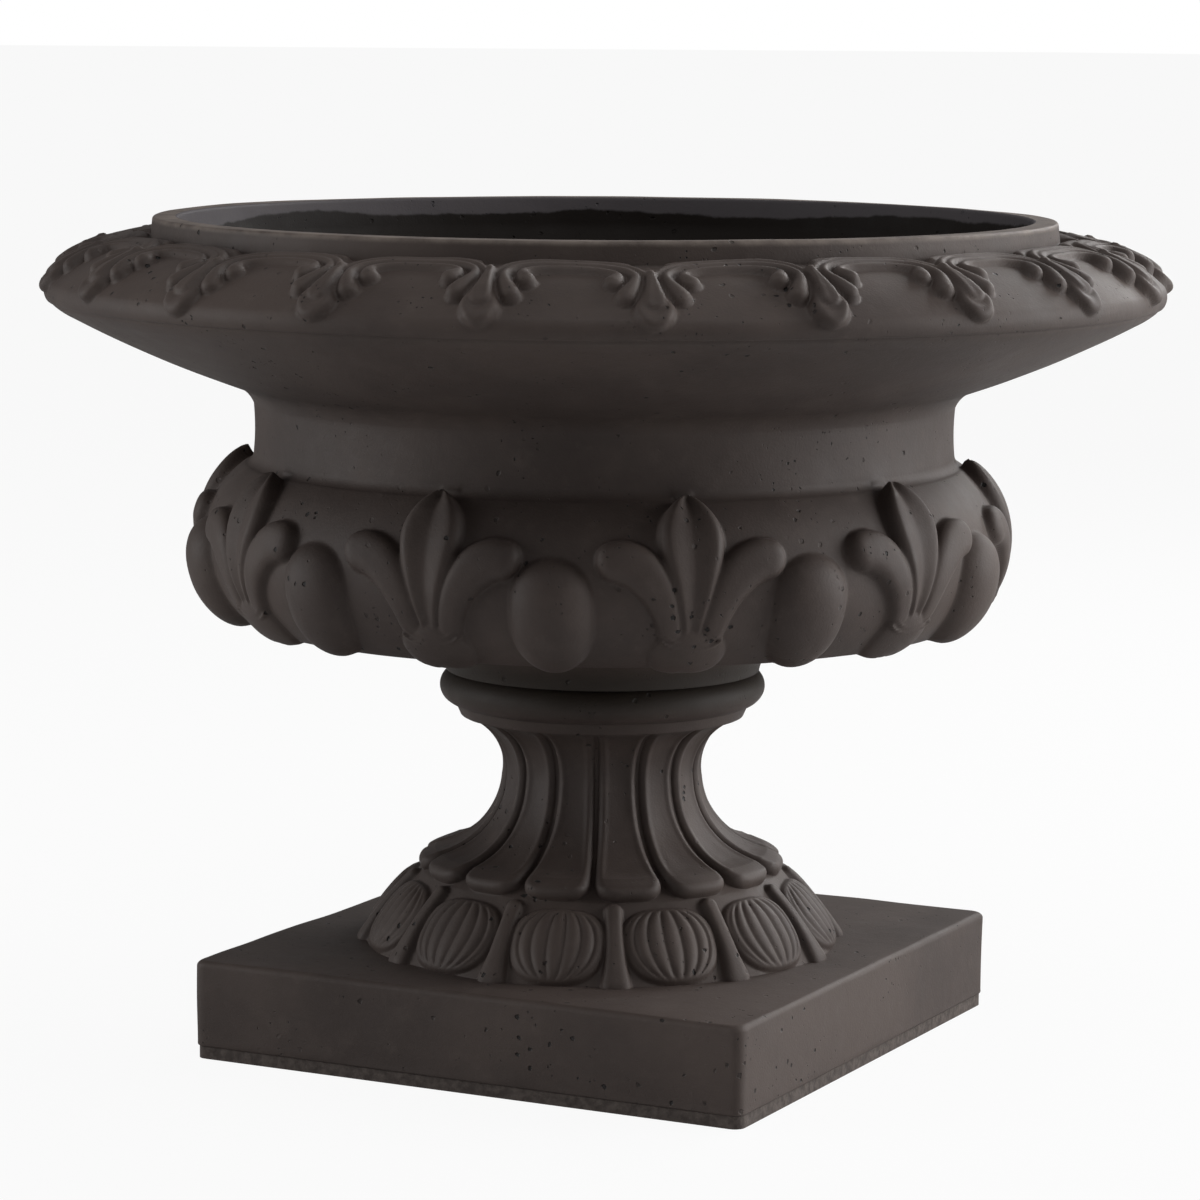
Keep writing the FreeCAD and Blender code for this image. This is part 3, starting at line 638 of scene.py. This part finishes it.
def buildBowl():
    angles = np.arange(bowl["columns"]) * 360 / bowl["columns"]
    radius, up, outR, outZ, distance = outline.columns()
    heights = bowlRelief(angles[None, :], distance, radius)
    ends = np.clip(np.minimum(distance, outline.distance[-1] - distance) / 6, 0, 1)
    heights = heights + unevenness(angles[None, :], distance, 3, bowl["waviness"]) * ends
    hang = np.where((distance < neckFoot) & (outZ < 0), bowl["underhang"], 1)  # swell outward, not down
    points = turned(radius + outR * heights, up + outZ * heights * hang, angles[None, :])
    normals = gridNormals(points)
    starts = outline.starts
    skinPieces([
        ("bowl_underside", 0, starts[2], 1),
        ("bowl_belly", starts[2], starts[4], 2),
        ("bowl_neck", starts[4], starts[7], 2),
        ("bowl_rim", starts[7], starts[-1], 2),
    ], points, normals, castStoneFinish, "bowl", ["bowl"])

    inside = Outline(bowl["inside"])
    angles = np.arange(bowl["insideColumns"]) * 360 / bowl["insideColumns"]
    radius, up, outR, outZ, distance = inside.columns()
    depth = np.clip(distance / 10, 0, 1) * (up > 260)
    heights = unevenness(angles[None, :], distance, 5, bowl["insideWaviness"]) * depth
    points = turned(radius + outR * heights, up + outZ * heights, angles[None, :])
    skinPieces([("bowl_inside", 0, len(inside.points) - 1, 1)], points, gridNormals(points),
               insideFinish, "bowl", ["bowl"])
    print("bowl skin:", points.shape)


buildBowl()


# the pedestal: plinth, foot with shells and darts, shaft with straps, and a round head

pedestal = {
    "columns": 1440,
    "outline": [
        (137.6, 50.5, 0, 1.1),
        (137.2, 56.5, 300, 0.9),
        (104.5, 97.5, 5.6, 0.5),
        (103.5, 107, 0, 0.9),
        (97, 109.8, -47, 1.0),
        (58, 152.5, -32, 1.2),
        (79, 188.5, 0, 0.8),
        (82.5, 189.2, 0, 0.8),
        (85.5, 196, 10.05, 0.9),
        (85.5, 216, 0, 4),
        (40, 216, 0, 4),
    ],
    "waviness": 0.22,
}
straps = {
    "count": 15,
    "first": 12,
    "tip": 52.5,
    "cornerRadius": 16.5,
    "grooveHalf": 1.2,
    "shoulder": 3.4,
    "pillow": 7.5,  # the wider shoulder near a tip
    "pillowTop": 84,
    "pillowBlend": 26,
    # how deep the grooves lie, by the distance up the shaft
    "depth": [(40, 0), (50, 0), (76, 3.6), (92, 2.6), (130, 2.4), (165, 2.0), (176, 0.8), (180, 0)],
    "notchTop": 76,
    "fluteFoot": 66,
    "bead": 0.7,
    "beadPlace": 3.4,
    "beadWidth": 2,
    "hollow": 0.8,
    "hollowShare": 0.5,
}
shells = {
    "count": 12,
    "first": 15.5,
    "middle": 23.6,
    "halfWidth": 27.4,
    "halfHeight": 23.6,
    "squareness": 2.6,
    "height": 6.2,
    "domePower": 3.2,
    "ribs": 9,
    "ribDepth": 1.5,
    "ribPower": 0.7,
    "ribEnds": 0.25,
    "ribEdge": (0.93, 0.1),
    "patch": (34, -6, 58),
}
darts = {
    "count": 12,
    "first": 30.6,
    "path": [(0, 46, 5.2, 4.4), (0, 30, 5.2, 5.2), (0, 14, 6.2, 5.4), (0, 0, 8.5, 5.4)],
    "patch": (14, -8, 56),
}
shaft = Outline(pedestal["outline"])
footMark, strapFoot, headFoot = (shaft.mark(k) for k in (1, 2, 6))


def shellStamp():
    stamp = Stamp(*shells["patch"])
    across = stamp.across / shells["halfWidth"]
    along = (stamp.along - shells["middle"]) / shells["halfHeight"]
    power = shells["squareness"]
    reach = (np.abs(across) ** power + np.abs(along) ** power) ** (1 / power)
    dome = np.clip(1 - reach ** shells["domePower"], 0, 1) ** 0.5
    spread = np.sqrt(np.clip(1 - np.clip(along, -0.97, 0.97) ** 2, 0.02, 1))
    turn = np.arcsin(np.clip(across / spread, -1, 1)) / math.pi * shells["ribs"]
    ridge = np.abs(np.cos(math.pi * turn)) ** shells["ribPower"]
    ends = np.clip((1 - np.abs(along)) / shells["ribEnds"], 0, 1)
    outermost, over = shells["ribEdge"]
    edge = np.clip((outermost - reach) / over, 0, 1)
    ribs = shells["ribDepth"] * (1 - ridge) * ends * edge
    stamp.heights = np.maximum(dome * shells["height"] - ribs, 0)
    return stamp.finish(1)


shellRelief = shellStamp()
dartRelief = Stamp(*darts["patch"])
dartRelief.stroke(darts["path"], paddled)
dartRelief.finish()


def strapInset(away, distance, radius):
    # distance in from the edge of a strap, in mm, below zero in the grooves and notches
    halfWidth = np.radians(180 / straps["count"]) * radius - straps["grooveHalf"]
    corner = straps["cornerRadius"]
    across = np.abs(np.radians(away)) * radius - (halfWidth - corner)
    along = straps["tip"] + corner - distance
    beyond = np.hypot(np.maximum(across, 0), np.maximum(along, 0))
    return corner - beyond - np.minimum(np.maximum(across, along), 0)


def grooveFloor(distance, low):
    # the outline sunk by the grooves' depth, and straight across the notches between the tips
    depth = np.interp(distance, *zip(*straps["depth"]))
    under = shaft.points - shaft.out * depth[:, None]
    high = straps["notchTop"]
    share = np.clip((distance - low) / (high - low), 0, 1)[:, None]
    foot, top = (np.array([np.interp(d, distance, line[:, k]) for k in (0, 1)])
                 for d, line in ((low, shaft.points), (high, under)))
    notch = (distance > low) & (distance < high)
    under[notch] = (foot * (1 - share) + top * share)[notch]
    return under


def buildShaft():
    angles = np.arange(pedestal["columns"]) * 360 / pedestal["columns"]
    low, high = strapFoot - footMark, headFoot - footMark
    under = grooveFloor(shaft.distance - footMark, low)
    radius, up, outR, outZ, distance = shaft.columns()
    distance = distance - footMark
    away, _ = repeated(angles[None, :], straps["first"], straps["count"])
    inset = strapInset(away, distance, radius)
    nearTip = np.clip((straps["pillowTop"] - distance) / straps["pillowBlend"], 0, 1)
    shoulder = straps["shoulder"] + (straps["pillow"] - straps["shoulder"]) * nearTip
    mask = np.sqrt(1 - (1 - np.clip(inset / shoulder, 0, 1)) ** 2)
    mask = np.where((distance > low) & (distance < high), mask, 1)
    blendR = radius * mask + under[:, :1] * (1 - mask)
    blendZ = up * mask + under[:, 1:] * (1 - mask)
    long = np.clip((distance - straps["fluteFoot"]) / 14, 0, 1) * np.clip((high - distance) / 8, 0, 1)
    half = np.radians(180 / straps["count"]) * radius
    bead = np.exp(-((inset - straps["beadPlace"]) / straps["beadWidth"]) ** 2)
    hollow = np.exp(-(np.radians(away) * radius / (straps["hollowShare"] * half)) ** 2)
    heights = (straps["bead"] * bead - straps["hollow"] * hollow) * long * mask
    away, _ = repeated(angles[None, :], shells["first"], shells["count"])
    shellHeights = shellRelief.sample(np.radians(away) * radius, distance)
    away, _ = repeated(angles[None, :], darts["first"], darts["count"])
    dartHeights = dartRelief.sample(np.radians(away) * radius, distance)
    heights = heights + np.where(distance < low + 1, np.maximum(shellHeights, dartHeights), 0)
    total = distance[-1, 0]
    ends = np.clip(np.minimum(distance + 2, total - distance) / 5, 0, 1)
    heights = heights + unevenness(angles[None, :], distance, 11, pedestal["waviness"]) * ends
    grid = turned(blendR + outR * heights, blendZ + outZ * heights, angles[None, :])
    normals = gridNormals(grid)
    starts = shaft.starts
    skinPieces([
        ("pedestal_foot", 0, starts[4], 2),
        ("pedestal_shaft", starts[4], starts[6], 2),
        ("pedestal_head", starts[6], starts[-1], 1),
    ], grid, normals, castStoneFinish, "pedestal", ["pedestal"])
    print("pedestal skin:", grid.shape)


buildShaft()

plinth = {
    "half": 172.5,
    "low": 7,
    "top": 56.5,
    "edgeRadius": 3.2,
    "footRadius": 1.2,
    "cornerRadius": 6,
    "columns": 680,
    "waviness": 0.5,
    "waveTurns": (0.03, 0.06, 0.1, 0.15),  # radians to a mm
}


def squareRing(half, corner, shares):
    # a square with round corners, walked evenly from the middle of one side
    corner = min(corner, half)
    straight = 2 * (half - corner)
    curve = math.pi / 2 * corner
    total = 4 * (straight + curve)
    way = shares * total
    side = np.floor((way + straight / 2) / (straight + curve)).astype(int) % 4
    rest = (way + straight / 2) % (straight + curve)
    turn = np.clip((rest - straight) / max(curve, 1e-9), 0, 1) * math.pi / 2
    flat = np.minimum(rest, straight) - straight / 2
    x = np.where(rest < straight, flat, straight / 2 + corner * np.sin(turn))
    y = np.where(rest < straight, -half, -half + corner - corner * np.cos(turn))
    spin = side * math.pi / 2
    return x * np.cos(spin) - y * np.sin(spin), x * np.sin(spin) + y * np.cos(spin)


def buildPlinth():
    half, edge, foot, low, top = (plinth[k] for k in ("half", "edgeRadius", "footRadius", "low", "top"))
    side = Outline([
        (50, low, 0, 20),
        (half - foot, low, foot, 0.8),
        (half, low + foot, 0, 1.8),
        (half, top - edge, edge, 0.7),
        (half - edge, top, 0, 2.2),
        (100, top, 0, 12),
        (40, top, 0, 12),
    ])
    shares = np.arange(plinth["columns"]) / plinth["columns"]
    rings = []
    for (across, up), (outR, outZ) in zip(side.points, side.out):
        x, y = squareRing(across, plinth["cornerRadius"], shares)
        rings.append(np.stack([x, y, np.full_like(x, up)], 1))
    grid = np.array(rings)
    normals = gridNormals(grid)
    rng = np.random.default_rng(21)
    wave = np.zeros(grid.shape[:2])
    slowest = plinth["waveTurns"][0]
    for turns in plinth["waveTurns"]:
        for _ in range(6):
            way = rng.normal(size=3)
            phase = rng.uniform(0, 6.3)
            wave += np.sin(grid @ way / np.linalg.norm(way) * turns + phase) * (slowest / turns) ** 0.8
    settled = np.clip((grid[..., 2] - low) / 3, 0, 1)
    grid = grid + normals * (wave * plinth["waviness"] / 3.5 * settled)[..., None]
    skinPieces([("pedestal_plinth", 0, len(grid) - 1, 1)], grid, gridNormals(grid),
               castStoneFinish, "pedestal", ["pedestal"])
    print("plinth skin:", grid.shape)


buildPlinth()

for node, finish in {
    "plinth_screed": screedFinish, "setting_ring": rubberFinish, "drain_pipe": drainFinish,
    "drain_bush": drainFinish, "drain_grate": drainFinish, "rim_hoop": hoopFinish,
    "belly_hoop": hoopFinish, "shaft_rods": hoopFinish, "plinth_hoop": hoopFinish,
}.items():
    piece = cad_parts[node]
    piece.data.materials.clear()
    piece.data.materials.append(finish)
print("carried-over pieces finished")


# studio: camera, floor, lights

studio = {
    "azimuth": 26.92,
    "distance": 2.533,
    "height": 0.6024,
    "pitch": 0.1363,
    "yaw": -0.0007,
    "roll": 0.0069,
    "lens": 132.2,
    "floor": 90,
    "floorWhite": 0.93,
    "floorShade": 0.6,
    "ambient": 0.2,
    "middle": (0, 0, 0.28),
    # lamps: azimuth, distance, height, size and power
    "lamps": {
        "key": (118, 2.2, 0.8, 1.4, 44),
        "side": (-60, 2.4, 0.6, 1.4, 23),
        "back": (165, 2.2, 1.5, 1.2, 34),
        "front": (40, 1.2, 2.6, 1.6, 16),
    },
}


def around(azimuth, distance, height):
    turn = math.radians(azimuth)
    return Vector((distance * math.sin(turn), -distance * math.cos(turn), height))


def softBox(name, place, size, power):
    lamp = bpy.data.lights.new(name, "AREA")
    lamp.shape = "SQUARE"
    lamp.size = size
    lamp.energy = power
    holder = bpy.data.objects.new(name, lamp)
    bpy.context.scene.collection.objects.link(holder)
    holder.location = place
    holder.rotation_euler = (Vector(studio["middle"]) - place).to_track_quat("-Z", "Y").to_euler()


def buildStudio():
    scene = bpy.context.scene
    scene.view_settings.view_transform = "Standard"
    buildCamera(scene)
    buildFloor()
    buildSky(scene)
    for name, (azimuth, distance, height, size, power) in studio["lamps"].items():
        softBox(name, around(azimuth, distance, height), size, power)


def buildCamera(scene):
    camera = bpy.data.cameras.new("camera")
    camera.sensor_width = 36
    camera.lens = studio["lens"]
    camera.clip_end = 50
    holder = bpy.data.objects.new("camera", camera)
    scene.collection.objects.link(holder)
    place = around(studio["azimuth"], studio["distance"], studio["height"])
    turn = math.radians(studio["azimuth"])
    ahead = Vector((-math.sin(turn), math.cos(turn), 0))
    side = Vector((math.cos(turn), math.sin(turn), 0))
    yaw, pitch, roll = studio["yaw"], studio["pitch"], studio["roll"]
    level = ahead * math.cos(yaw) + side * math.sin(yaw)
    forward = level * math.cos(pitch) + Vector((0, 0, -math.sin(pitch)))
    right = side * math.cos(yaw) - ahead * math.sin(yaw)
    up = right.cross(forward)
    tilted = right * math.cos(roll) + up * math.sin(roll)
    above = up * math.cos(roll) - right * math.sin(roll)
    matrix = holder.matrix_world.copy()
    for column, way in enumerate((tilted, above, -forward, place)):
        for row in range(3):
            matrix[row][column] = way[row]
    holder.matrix_world = matrix
    scene.camera = holder


def buildFloor():
    bpy.ops.mesh.primitive_plane_add(size=studio["floor"])
    floor = bpy.context.object
    floor.name = "floor"
    paint = Finish("floor_paint")
    seen = paint.node("ShaderNodeLightPath", out="Is Camera Ray")
    matt = paint.node("ShaderNodeBsdfDiffuse", {}, {"Color": (*[studio["floorShade"]] * 3, 1)})
    glow = paint.node("ShaderNodeEmission", {}, {"Color": (1, 1, 1, 1), "Strength": 1.0})
    mixed = paint.node("ShaderNodeMixShader", {}, {0: seen * studio["floorWhite"], 1: matt, 2: glow})
    paint.node("ShaderNodeOutputMaterial", {}, {"Surface": mixed})
    floor.data.materials.append(paint.material)


def buildSky(scene):
    scene.world = bpy.data.worlds.new("studio")
    sky = Finish("studio", scene.world)
    seen = sky.node("ShaderNodeLightPath", out="Is Camera Ray")
    strength = seen * (1 - studio["ambient"]) + studio["ambient"]
    air = sky.node("ShaderNodeBackground", {}, {"Color": (1, 1, 1, 1), "Strength": strength})
    sky.node("ShaderNodeOutputWorld", {}, {"Surface": air})


buildStudio()
print("studio ready")
